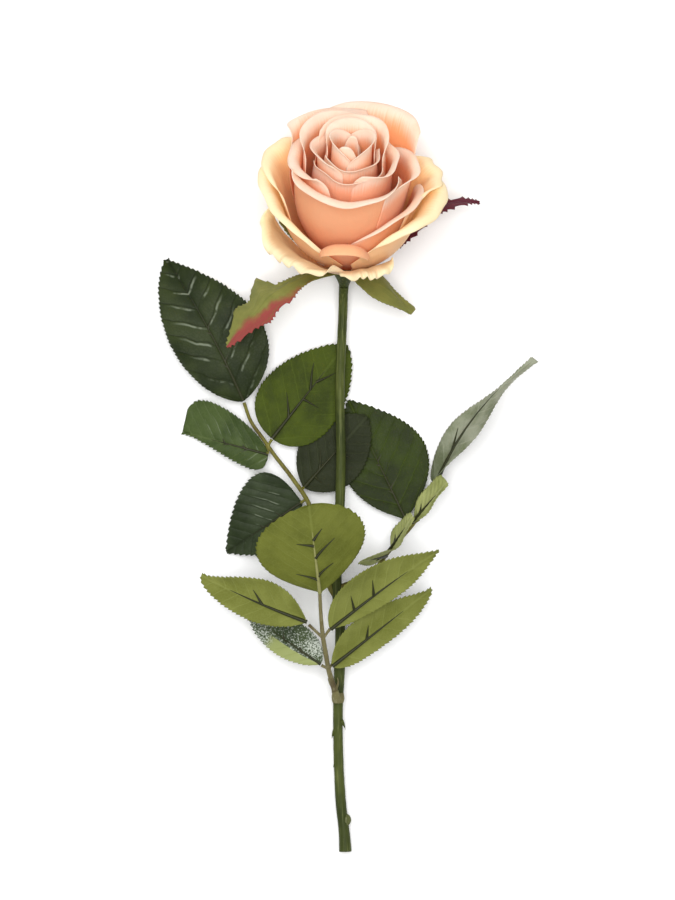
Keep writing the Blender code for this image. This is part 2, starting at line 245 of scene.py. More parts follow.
def mark(mesh, name, values):
    """Store one number on each point of a mesh."""
    mesh.attributes.new(name, "FLOAT", "POINT").data.foreach_set("value", values)


def sheet(name, grid, shape, thickness, faces, measures=None):
    """A closed thin sheet bent by shape(u, v); faces are its front and back materials.

    grid is its number of faces across and along. u runs across from -1 to 1 and v runs from base,
    0, to tip, 1. measures(u, v) gives further
    numbers to store on the points.
    """
    edit = bmesh.new()
    bmesh.ops.create_grid(edit, x_segments=grid[0], y_segments=grid[1], size=1.0)
    flat = np.array([vert.co[:] for vert in edit.verts])
    u = flat[:, 0]
    v = 0.5 + 0.5 * flat[:, 1]
    layer = edit.loops.layers.uv.new("blade")
    for face in edit.faces:
        face.smooth = True
        for loop in face.loops:
            i = loop.vert.index
            loop[layer].uv = (0.5 + 0.5 * u[i], v[i])
    for vert, place in zip(edit.verts, shape(u, v)):
        vert.co = Vector((place + SHIFT) * MM)
    mesh = mesh_from(edit, name)
    for face in faces:
        mesh.materials.append(face)
    for label, values in (measures(u, v) if measures else {}).items():
        mark(mesh, label, values)
    obj = add_object(name, mesh)
    skin = obj.modifiers.new("thickness", "SOLIDIFY")
    skin.thickness = thickness * MM
    skin.offset = 0.0
    skin.material_offset = len(faces) - 1
    return settle(obj)


def settle(obj):
    """Turn an object's modifiers into one plain mesh with its faces pointing outward."""
    bpy.context.view_layer.update()
    evaluated = obj.evaluated_get(bpy.context.evaluated_depsgraph_get())
    mesh = bpy.data.meshes.new_from_object(evaluated)
    obj.modifiers.clear()
    edit = bmesh.new()
    edit.from_mesh(mesh)
    if edit.calc_volume(signed=True) < 0.0:
        bmesh.ops.reverse_faces(edit, faces=edit.faces)
    edit.to_mesh(mesh)
    edit.free()
    mesh.name = obj.name
    obj.data = mesh
    return obj


def install(obj, slot, *nodes):
    """Tie a finished piece to the frame."""
    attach(obj, "root")
    if nodes:
        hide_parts(*nodes)

# %% [markdown]
# ## How the petals nest
# A rose petal leaves the cup leaning outward, stands up around the heart and rolls back at its
# rim. The outer the petal, the more it leans at every point. If the lean grows from one layer to
# the next, the layers mostly stay clear of each other, so one rule for the lean nests the whole
# bloom. Curls and ruffles come on top of the rule, and a few neighbouring petals still cross a
# little there. Each petal is then only its place round the axis, its layer, its size and the way
# its rim curls.

# %% The nesting rule
LAYERS = (0.0, 5.0, 10.0, 14.0, 18.0, 25.0)
LEANS = (
    (0.0, (14.0, 22.0, 34.0, 46.0, 56.0, 70.0)),
    (24.0, (5.0, 10.0, 22.0, 33.0, 40.0, 50.0)),
    (48.0, (0.0, 1.0, 3.0, 6.0, 8.0, 14.0)),
    (68.0, (-3.0, -3.0, -2.0, 2.0, 12.0, 45.0)),
    (90.0, (-3.0, -3.0, 0.0, 10.0, 40.0, 95.0)),
)
BILLOW = 0.4
# radius and height of a petal's foot: in the heart, then the change from layer to layer
FOOT = (1.2, 0.216)
RISE = (3.2, -0.136)
# the closest that a petal wraps the axis, and the furthest round that each half goes
CLOSEST = 1.6
FURTHEST_ROUND = 2.35
# shares of a sheet's length at which its bend is added up
BEND_STEPS = (np.arange(40) + 0.5) / 40.0


def nest_lean(along, layer):
    """Angle from the flower's axis at a distance along a petal, in degrees."""
    places = [place for place, _ in LEANS]
    return np.interp(along, places, [np.interp(layer, LAYERS, row) for _, row in LEANS])


def petal_shape(turn, layer, half_width, length, rnd=0.2, curl=0.0, roll=0.22, wave=0.0,
                phase=0.0, spiral=0.0, slant=0.0, lip=60.0, crinkle=0.0, crease=0.0, top=0.92,
                lip_from=0.9, lip_side=0.0):
    """Bending rule of one petal.

    turn is its middle's angle round the axis. rnd rounds its corners, curl turns the last roll
    share of it outward, lip rolls the very rim, wave ruffles it and crinkle puckers it. phase
    moves the ruffles along. lip_from is where the lip begins and lip_side makes it stronger on one
    side. slant makes one side longer, spiral winds it, crease folds fine pleats along it and top
    is the rim's width as a share of the widest place.
    """
    widths = np.array((0.05, 0.15, 0.44, 0.80, 1.0, 0.5 + 0.5 * top, top))
    width_places = np.array((0.0, 0.12, 0.26, 0.46, 0.7, 0.88, 1.0))
    foot = FOOT[0] + FOOT[1] * layer
    rise = RISE[0] + RISE[1] * layer

    def slope(v, u, reach):
        angle = nest_lean(v * reach, layer)
        angle = angle + curl * (1.0 - u**4) * ease(v, 1.0 - roll, 1.02)
        angle = angle + lip * ease(v, lip_from, 1.0) * (1.0 - 0.5 * u**4) * (1.0 - lip_side * u)
        ripple = np.sin(3.3 * u + phase) + 0.4 * np.sin(8.1 * u + 2.0 * phase)
        angle = angle + wave * ripple * ease(v, 0.55, 1.0)
        pucker = np.sin(21.0 * u + 3.0 * phase + 2.0 * np.sin(5.0 * u))
        return np.radians(angle + crinkle * pucker * ease(v, 0.8, 1.0))

    def shape(u, v):
        corners = rnd * np.abs(u) ** 2.6
        reach = length * (1.0 - corners + slant * u)
        fine = v[:, None] * BEND_STEPS[None, :]
        bend = slope(fine, u[:, None], reach[:, None])
        radius = foot + reach * v * np.sin(bend).mean(axis=1)
        height = rise + reach * v * np.cos(bend).mean(axis=1)
        middle = slope(fine, 0.0 * fine, length)
        core = np.maximum(foot + length * v * np.sin(middle).mean(axis=1), CLOSEST)
        spread = half_width * np.interp(v, width_places, widths) / core
        spread = np.minimum(spread, FURTHEST_ROUND)
        angle = math.radians(turn) + u * spread
        pleat = crease * np.sin(14.0 * u + phase) * ease(v, 0.35, 0.9) * (1.0 - u**4)
        billow = BILLOW * np.sin(4.1 * u + turn) * np.sin(5.0 * v + turn) * ease(v, 0.3, 0.7)
        radius = radius + spiral * u * ease(v, 0.0, 0.5) + pleat + billow
        return flower_place(radius, angle, height)

    return shape

# %% [markdown]
# ## The petals' finish
# The petals are a thin satin cloth, and a part of the light goes through them by a translucent
# shader. The colour runs along each petal from a warm base to a creamy rim. On the inner petals
# the deep orange base is partly painted glow, standing in for the light that gathers where the
# layers crowd together, and the pale rim is partly a painted highlight.

# %% Petal cloth
# share of the light that goes through a petal
GLOW = 0.45
# fineness of the patterns: clouds of colour, lengthwise streaks, threads and soft crumples
MOTTLE, STREAKS, THREADS, CRUMPLE = 55.0, 60.0, 1400.0, 110.0


def petal_cloth(name, base, body, rim):
    """Satin petal cloth: colour from base to rim, fine weave and light passing through."""
    cloth = Finish(name)
    blade, across, along = cloth.blade()
    mottle = cloth.noise(MOTTLE, 4.0)
    streak = cloth.noise(STREAKS, vector=blade, stretch=(1.4, 0.06, 1.0))
    side = (across - 0.5).size() * 2.0
    place = along + (mottle - 0.5) * 0.10 + (streak - 0.5) * 0.10 + side * side * 0.05
    # on the inner petals the deep orange base is partly painted glow and the pale rim partly a
    # painted highlight
    colour = cloth.ramp(place, ((0.30, base), (0.70, body), (0.84, body), (0.97, rim)))
    flush = cloth.step(mottle, 0.35, 0.75) * 0.25
    colour = cloth.mix(flush, colour, body)
    weave = cloth.noise(THREADS, 2.0) * 0.3 + streak * 0.5
    weave = weave + cloth.noise(CRUMPLE, 2.0) * 3.0
    bent = cloth.bump(weave, 0.3, 0.0006)
    satin = cloth.add("ShaderNodeBsdfPrincipled", {}, {
        "Base Color": colour, "Roughness": 0.62, "Sheen Weight": 0.12, "Normal": bent,
        "Specular IOR Level": 0.3})
    through = cloth.add("ShaderNodeBsdfTranslucent", {}, {"Color": colour, "Normal": bent})
    both = cloth.add("ShaderNodeMixShader", {}, {0: GLOW, 1: satin, 2: through})
    return cloth.finish(both)


# the first two colours are the inner petals' orange base, partly painted glow for the light that
# gathers in the folds
deep_orange_glow = tint(255, 112, 44)
warm_orange_glow = tint(255, 150, 88)
apricot = tint(255, 192, 140)
blush = tint(255, 205, 166)
pale_blush = tint(255, 208, 162)
# pale rim of the inner petals: partly their own pale edge, partly a painted highlight
pale_rim_highlight = tint(255, 241, 226)
cream = tint(255, 224, 176)
cream_rim = tint(255, 245, 214)
honey = tint(255, 196, 132)
sand = tint(244, 200, 150)
pale_sand = tint(240, 214, 176)

inside = petal_cloth("petal inner, inside", deep_orange_glow, apricot, pale_rim_highlight)
petal_faces = {
    "inner": (petal_cloth("petal inner, outside", warm_orange_glow, blush, pale_rim_highlight), inside),
    "face": (petal_cloth("petal front, outside", apricot, pale_blush, pale_rim_highlight), inside),
    "outer": (petal_cloth("petal outer, outside", cream, cream, cream_rim),
              petal_cloth("petal outer, inside", honey, cream, cream_rim)),
    "outer_low": (petal_cloth("low petal, outside", sand, pale_sand, cream_rim),
                  petal_cloth("low petal, inside", sand, pale_sand, cream_rim)),
    "outer_roll": (petal_cloth("rolled petal, outside", apricot, blush, cream),
                   petal_cloth("rolled petal, inside", apricot, blush, pale_blush)),
}
print("petal finishes:", [face.name for pair in petal_faces.values() for face in pair])

# %% [markdown]
# ## The bloom
# The petals are listed from the heart outward. The first is a rolled bud, the next ones wrap it,
# the middle ones make the open rings, and the last nine are the outer petals, which hang back and
# pucker at the rim. Every petal replaces its plain solid in the frame.

# %% Petals from the heart outward
# name, finish, (turn, layer, half width, length), and what is particular to the petal
PETALS = (
    ("core", "inner", (80, 0, 9, 74), dict(spiral=1.0, lip=0, top=0.6)),
    ("heart", "inner", (-110, 1.4, 11, 75), dict(lip=10, top=0.7)),
    ("vee_left", "inner", (172, 4, 20, 78), dict(rnd=0.1, lip=30)),
    ("vee_right", "inner", (8, 5, 21, 79), dict(rnd=0.1, lip=30)),
    ("vee_back", "inner", (92, 6, 24, 82), dict(rnd=0.08, wave=3, phase=1)),
    ("ring_a", "inner", (-72, 7, 28, 72), dict(rnd=0.0, wave=6, phase=2)),
    ("left_in", "inner", (165, 8, 28, 76), dict(rnd=0.06, wave=6)),
    ("back_in", "inner", (76, 9, 32, 83), dict(rnd=0.06, wave=4, phase=2)),
    ("ring_b", "inner", (-95, 10, 32, 70), dict(rnd=0.0, wave=8, phase=1)),
    ("right_in", "inner", (-12, 11, 30, 75), dict(rnd=0.04, wave=8, phase=3)),
    ("back_mid", "inner", (122, 12, 34, 84), dict(rnd=0.08, wave=4, phase=1)),
    ("left_curl", "inner", (186, 12.7, 30, 77), dict(rnd=0.05, curl=30, wave=4, lip=90)),
    ("front", "face", (-92, 14.3, 43, 73), dict(rnd=-0.02, curl=30, crease=0.2, roll=0.16,
     slant=-0.02, wave=6, phase=1, lip=80, lip_from=0.85, lip_side=0.5)),
    ("right_mid", "inner", (0, 15.3, 30, 74), dict(rnd=0.08, wave=5, phase=2)),
    ("back_left", "inner", (117, 16, 31, 87), dict(rnd=0.04, wave=8, phase=1, lip=110)),
    ("back_tall", "inner", (73, 17.3, 36, 89), dict(rnd=0.08, top=1.0, wave=5, phase=2.5,
     slant=-0.02)),
    ("fold_right", "face", (-40, 18, 30, 62), dict(rnd=0.12, curl=25, slant=0.14, wave=3)),
    ("guard_left", "outer", (155, 18.6, 34, 76), dict(curl=24, roll=0.4, wave=6, crease=0.3)),
    ("roll_front", "outer_roll", (-91, 19.4, 21, 60), dict(rnd=0.5, curl=96, roll=0.36, lip=10)),
    ("guard_right", "outer", (13, 19.3, 32, 74), dict(curl=24, roll=0.4, wave=8, phase=2,
     crease=0.9)),
    ("guard_front_left", "outer", (206, 20.8, 38, 67), dict(rnd=0.2, curl=30, roll=0.3,
     slant=-0.22, wave=4, crease=0.3)),
    ("guard_front_right", "outer", (-29, 21.8, 36, 72), dict(curl=45, roll=0.3, slant=0.16,
     wave=4, phase=1, crease=0.3)),
    ("low_right", "outer_low", (-72, 23.4, 19, 43), dict(rnd=0.2, curl=74, roll=0.4, slant=0.12,
     wave=8, crinkle=24, crease=0.5)),
    ("low_left", "outer_low", (230, 24.4, 29, 51), dict(rnd=0.06, curl=70, roll=0.45, slant=-0.22,
     wave=8, phase=2, crinkle=24, crease=0.5)),
    ("back_low_left", "outer", (128, 23.8, 30, 70), dict(curl=50, roll=0.6, wave=3)),
    ("back_low_right", "outer", (53, 25, 30, 68), dict(curl=41, roll=0.6, wave=3, phase=2)),
)
PETAL_THICK = 0.36
PETAL_GRID = (64, 56)


def make_petals():
    """Every petal, each in place of its plain solid."""
    for name, tone, place, values in PETALS:
        petal = sheet("rose_petal_" + name, PETAL_GRID, petal_shape(*place, **values), PETAL_THICK,
                      petal_faces[tone])
        slot = "petal_outer" if tone.startswith("outer") else "petal_inner"
        install(petal, slot, "petal_" + name)
    print("petals:", len(PETALS), "each about", len(petal.data.polygons), "faces")


make_petals()

# %% [markdown]
# ## Leaf blades
# A rose leaflet is an oval blade with a toothed edge. Side veins leave the midrib at a slant, and
# the blade swells a little between them. The plain solid has only the outline, so the teeth, the
# groove over the midrib and the swellings are added here to the same bending rule. Distances
# across and along the blade in millimetres are stored on its points, and the finish draws its
# veins from them.

# %% Blade shape
TOOTH_PITCH = 2.4
TOOTH_DEPTH = 1.0
VEIN_SLANT = 0.85
VEINS = 8.0


def leaf_half(v, widest, start, end):
    """Width of one half of a leaflet along its midrib: small start and end make it blunt."""
    peak = (start / (start + end)) ** start * (end / (start + end)) ** end
    share = np.clip(v, 1e-4, 1) ** start * np.clip(1 - v, 1e-4, 1) ** end / peak
    return np.maximum(widest * share, 0.7)


def leaf_shape(base, tip, left, right, roll=0.0, arch=0.0, bend=0.0, fold=0.0, wave=0.0,
               relief=0.0, teeth=1.0):
    """Bending rule of one leaflet from its base to its tip.

    left and right give each half its widest width and the bluntness of its two ends.

    roll turns the blade about its midrib, arch bows the midrib off the blade, bend bows it
    sideways, fold closes the halves like a book, wave ripples the margin. relief is the swelling
    between veins, positive where the upper face of the blade is the real upper side.
    """
    base = np.array(base, float)
    tip = np.array(tip, float)
    along = tip - base
    length = np.linalg.norm(along)
    along = along / length
    side = np.cross(along, (0.0, 0.0, 1.0))
    side = side / np.linalg.norm(side)
    up = np.cross(side, along)
    turn = math.radians(roll)
    across = math.cos(turn) * side + math.sin(turn) * up
    normal = math.cos(turn) * up - math.sin(turn) * side

    def half_at(u, v):
        return np.where(u < 0.0, leaf_half(v, *left), leaf_half(v, *right))

    def shape(u, v):
        half = half_at(u, v)
        lift = math.radians(fold) * np.abs(u)
        bow = 4.0 * v * (1.0 - v)
        middle = base + np.outer(v * length, along)
        middle = middle + np.outer(bow * arch, up) + np.outer(bow * bend, side)
        saw = np.mod(v * length / TOOTH_PITCH, 1.0) * TOOTH_DEPTH * teeth
        edge = np.clip((np.abs(u) - 0.93) / 0.07, 0.0, 1.0) * ease(v, 0.04, 0.12)
        reach = half * np.abs(u) + saw * edge
        out = (np.sign(u) * reach * np.cos(lift))[:, None] * across
        forward = np.outer(0.5 * saw * edge, along)
        step = (v * length - VEIN_SLANT * half * np.abs(u)) * VEINS / length
        swell = np.abs(np.sin(math.pi * step)) ** 0.6 - 0.6
        swell = swell * relief * np.sin(math.pi * np.clip(np.abs(u), 0, 1)) ** 0.5
        groove = -0.8 * relief * np.exp(-((half * u / 1.1) ** 2))
        raised = reach * np.sin(lift) + wave * u * u * np.sin(9.0 * v + 1.5 * u) + swell + groove
        return middle + out + forward + raised[:, None] * normal

    def measures(u, v):
        return {"half": half_at(u, v), "length": np.full(len(v), length)}

    return shape, measures

# %% [markdown]
# ## The blades' finish
# The upper side of a rose leaf is dark; on some tops pale streaks next to the veins are painted
# highlights and whitish specks are painted glints. The underside is paler and dull, and two of its
# colours are darker copies that carry painted shade. Both sides are one function with different
# colours. The veins come from the distances stored on the blade: the midrib is where the distance
# across is nearly nothing, and the side veins are lines of equal slanted distance.

# %% Leaf finish
LEAF_SHINE = 0.08
# fineness of the patterns: grain, clouds, patches and the net of small veins
GRAIN, CLOUDS, PATCHES, NET = 520.0, 70.0, 48.0, 620.0
# colour of the painted highlight streaks next to the veins
HIGHLIGHT_STREAK_COLOUR = tint(150, 158, 138)
# colour of the painted glints, whitish specks of light on a leaf top
GLINT_COLOUR = tint(206, 212, 200)


def leaf_face(name, ground, shade, vein, vein_strength, roughness, painted_glints=0.0, highlight_streaks=0.0,
              hem=None):
    """One side of a leaf blade; its colours are everyday red, green and blue values.

    The last three values are: the amount of whitish specks, which are painted glints; the amount
    of pale streaks next to the veins, which are painted highlights; and hem, the colour of a
    turned-up left margin near the base.
    """
    leaf = Finish(name)
    _, across, along = leaf.blade()
    half = leaf.add("ShaderNodeAttribute", {"attribute_name": "half"}, output=2)
    length = leaf.add("ShaderNodeAttribute", {"attribute_name": "length"}, output=2)
    vein = tint(*vein)
    off = (across - 0.5).size() * 2.0
    away = off * half
    wander = (leaf.noise(90.0, 2.0) - 0.5) * 0.45
    step = (along * length - away * VEIN_SLANT) * VEINS / length + wander
    side_vein = 1.0 - leaf.step((step * math.pi).wave().size(), 0.0, 0.24)
    midrib = 1.0 - leaf.step(away, 0.25, 0.9)
    fine = leaf.noise(GRAIN, 4.0)
    broad = leaf.noise(CLOUDS)
    patch = leaf.noise(PATCHES, 1.0)
    net = leaf.add("ShaderNodeTexVoronoi", {"feature": "DISTANCE_TO_EDGE"}, {
        "Vector": leaf.add("ShaderNodeTexCoord", output=3), "Scale": NET})
    lines = 1.0 - leaf.step(net, 0.0, 0.12)
    colour = leaf.mix(leaf.step(broad, 0.35, 0.68), tint(*ground), tint(*shade))
    colour = leaf.mix(lines * 0.14, colour, vein)
    colour = leaf.mix(side_vein * leaf.step(patch, 0.3, 0.6) * vein_strength, colour, vein)
    colour = leaf.mix(midrib * vein_strength, colour, vein)
    # painted highlight: pale streaks next to the side veins, broken into patches
    if highlight_streaks:
        highlight_lines = 1.0 - leaf.step(((step + 0.16) * math.pi).wave().size(), 0.0, 0.34)
        torn = leaf.noise(260.0, 3.0)
        highlight_patches = leaf.step(patch + torn * 0.5, 0.70, 0.86) * (1.0 - leaf.step(off, 0.35, 0.85))
        colour = leaf.mix(highlight_lines * highlight_patches * highlight_streaks, colour, HIGHLIGHT_STREAK_COLOUR)
    # painted glints: whitish specks of light scattered over the blade
    if painted_glints:
        glint_specks = leaf.step(leaf.noise(1300.0, 4.0) * 0.7 + patch * 0.5, 0.56, 0.74) * painted_glints
        colour = leaf.mix(glint_specks, colour, GLINT_COLOUR)
    if hem:
        turned_up = leaf.step(0.5 - across + fine * 0.04, 0.14, 0.18)
        colour = leaf.mix(turned_up * (1.0 - leaf.step(along, 0.55, 0.70)), colour,
                          tint(*hem))
    height = fine * 0.5 - side_vein * 0.5 - midrib * 0.6 - lines * 0.25
    return leaf.paint(colour, fine * 0.16 + roughness - 0.08, leaf.bump(height, 0.5, 0.0004),
                      LEAF_SHINE)


leaf_sides = {
    "dark_top": leaf_face("leaf top, dark", (48, 57, 28), (32, 41, 18), (26, 30, 18), 0.55, 0.36,
        highlight_streaks=0.5),
    "green_top": leaf_face("leaf top, deep green", (46, 58, 14), (34, 42, 16), (70, 84, 26), 0.3,
        0.42),
    # a leaf top greyer than the dark one
    "greyish_top": leaf_face("leaf top, worn", (54, 64, 42), (38, 47, 28), (32, 38, 22), 0.45, 0.36,
        highlight_streaks=0.45),
    # a leaf top with painted glints and painted highlight streaks
    "glinting_top": leaf_face("leaf top, frosted", (66, 78, 52), (40, 52, 32), (60, 70, 44), 0.4,
        0.34, painted_glints=0.75, highlight_streaks=0.5, hem=(140, 148, 92)),
    "mid_top": leaf_face("leaf top, mid green", (68, 82, 44), (50, 64, 30), (94, 108, 64), 0.35,
        0.4, highlight_streaks=0.25),
    "olive_under": leaf_face("leaf underside, olive", (118, 123, 60), (104, 109, 48),
        (136, 142, 78), 0.3, 0.6),
    # painted shade: a darker copy of the olive underside, to offset the stronger light on a blade
    # that lies flat under the lamp
    "shaded_olive_under": leaf_face("leaf underside, facing up", (97, 102, 40), (84, 89, 32),
        (118, 124, 62), 0.3, 0.6),
    "green_under": leaf_face("leaf underside, green", (64, 76, 16), (48, 58, 14), (84, 98, 36),
        0.3, 0.55),
    # painted shade: a darker copy of the green underside, for the blade that lies in the shadow of
    # the leaflet over it
    "shaded_green_under": leaf_face("leaf underside, deep green", (40, 45, 26), (32, 37, 18),
        (60, 66, 42), 0.3, 0.5),
    "grey_under": leaf_face("leaf underside, grey green", (142, 146, 126), (100, 108, 80),
        (168, 172, 152), 0.35, 0.5),
    "light_under": leaf_face("leaf underside, light green", (150, 156, 98), (122, 130, 70),
        (176, 178, 130), 0.4, 0.55),
}
print("leaf finishes:", len(leaf_sides))

# %% [markdown]
# ## Stalks by Geometry Nodes
# Stems, leaf stalks and the ribs under the leaves are all a line with a changing thickness. A
# node tree sweeps a ring along any such line. Each line carries its thickness on its own points,
# so one tree serves every stalk, and only its material, number of sides and unevenness change.

# %% The sweeping tree
def open_tree(name, inputs, output):
    """A geometry tree under construction, the values of its inputs and their identifiers."""
    tree = bpy.data.node_groups.new(name, "GeometryNodeTree")
    ids = {label: tree.interface.new_socket(label, in_out="INPUT", socket_type=kind).identifier
           for label, kind in inputs.items()}
    tree.interface.new_socket(output, in_out="OUTPUT", socket_type="NodeSocketGeometry")
    graph = Graph(tree)
    start = graph.add("NodeGroupInput").socket.node
    return graph, {label: Flow(tree, start.outputs[label]) for label in inputs}, ids


def close_tree(graph, geometry, finish, output):
    """Smooth a tree's result, give it its finish and hand it out."""
    for kind in ("GeometryNodeRealizeInstances", "GeometryNodeSetShadeSmooth"):
        geometry = graph.add(kind, {}, {"Geometry": geometry})
    geometry = graph.add("GeometryNodeSetMaterial", {}, {"Geometry": geometry, "Material": finish})
    graph.add("NodeGroupOutput", {}, {output: geometry})


def stored(graph, name, kind="FLOAT"):
    """A value stored on the points."""
    return graph.add("GeometryNodeInputNamedAttribute", {"data_type": kind}, {"Name": name})


def sweep_tree():
    """A node tree that turns a line with a stored thickness into a closed round stalk."""
    inputs = {"Line": "NodeSocketGeometry", "Sides": "NodeSocketInt",
              "Unevenness": "NodeSocketFloat", "Grain": "NodeSocketFloat",
              "Finish": "NodeSocketMaterial"}
    graph, given, ids = open_tree("swept stalk", inputs, "Stalk")
    curve = graph.add("GeometryNodeMeshToCurve", {}, {"Mesh": given["Line"]})
    ring = graph.add("GeometryNodeCurvePrimitiveCircle", {}, {
        "Resolution": given["Sides"], "Radius": 1.0})
    skin = graph.add("GeometryNodeCurveToMesh", {}, {
        "Curve": curve, "Profile Curve": ring, "Scale": stored(graph, "thickness"),
        "Fill Caps": True})
    grain = graph.add("ShaderNodeTexNoise", {}, {"Scale": given["Grain"], "Detail": 2.0})
    normal = graph.add("GeometryNodeInputNormal")
    push = graph.add("ShaderNodeVectorMath", {"operation": "SCALE"}, {
        0: normal, "Scale": (grain - 0.5) * given["Unevenness"]})
    skin = graph.add("GeometryNodeSetPosition", {}, {"Geometry": skin, "Offset": push})
    close_tree(graph, skin, given["Finish"], "Stalk")
    return graph.tree, ids


SWEEP, SWEEP_SOCKETS = sweep_tree()


def smooth_path(points, count):
    """Points on a smooth line through the given ones, evenly spaced along their length."""
    points = np.array(points, float)
    steps = np.linalg.norm(np.diff(points[:, :3], axis=0), axis=1)
    along = np.concatenate([[0.0], np.cumsum(steps)])
    slopes = np.gradient(points, along, axis=0)
    result = []
    for place in np.linspace(0.0, along[-1], count):
        i = min(int(np.searchsorted(along, place, side="right")) - 1, len(points) - 2)
        width = along[i + 1] - along[i]
        t = (place - along[i]) / width
        ends = (2 * t**3 - 3 * t**2 + 1) * points[i] + (3 * t**2 - 2 * t**3) * points[i + 1]
        bends = (t**3 - 2 * t**2 + t) * slopes[i] + (t**3 - t**2) * slopes[i + 1]
        result.append(ends + bends * width)
    return np.array(result)


def stalks(name, lines, face, sides, unevenness=0.0, grain=300.0):
    """One piece swept along several lines; each line is rows of x, y, z and radius."""
    edit = bmesh.new()
    thickness = []
    for line in lines:
        verts = []
        for x, y, z, radius in line:
            verts.append(edit.verts.new(Vector(np.array((x, y, z)) + SHIFT) * MM))
            thickness.append(radius * MM)
        for first, second in zip(verts, verts[1:]):
            edit.edges.new((first, second))
    mesh = mesh_from(edit, name)
    mark(mesh, "thickness", thickness)
    mesh.materials.append(face)
    obj = add_object(name, mesh)
    sweep = obj.modifiers.new("sweep", "NODES")
    sweep.node_group = SWEEP
    values = {"Sides": sides, "Unevenness": unevenness * MM, "Grain": grain, "Finish": face}
    for label, value in values.items():
        sweep[SWEEP_SOCKETS[label]] = value
    return settle(obj)

# %% [markdown]
# ## Leaves
# Each leaf has five leaflets on short side stalks. The list gives every leaflet its line, width
# and turn, which side faces up, and where its stiff ribs branch. The ribs are swept along the
# underside by the same tree as the stalks: one down the middle and a few pairs toward the margin.

# %% Leaflets
UP, DOWN = 1.0, -1.0
# where a branch leaves the midrib, then how far across and along it ends
PAIRS = ((0.22, -0.6, 0.36), (0.26, 0.6, 0.40), (0.45, -0.6, 0.58), (0.49, 0.6, 0.62))
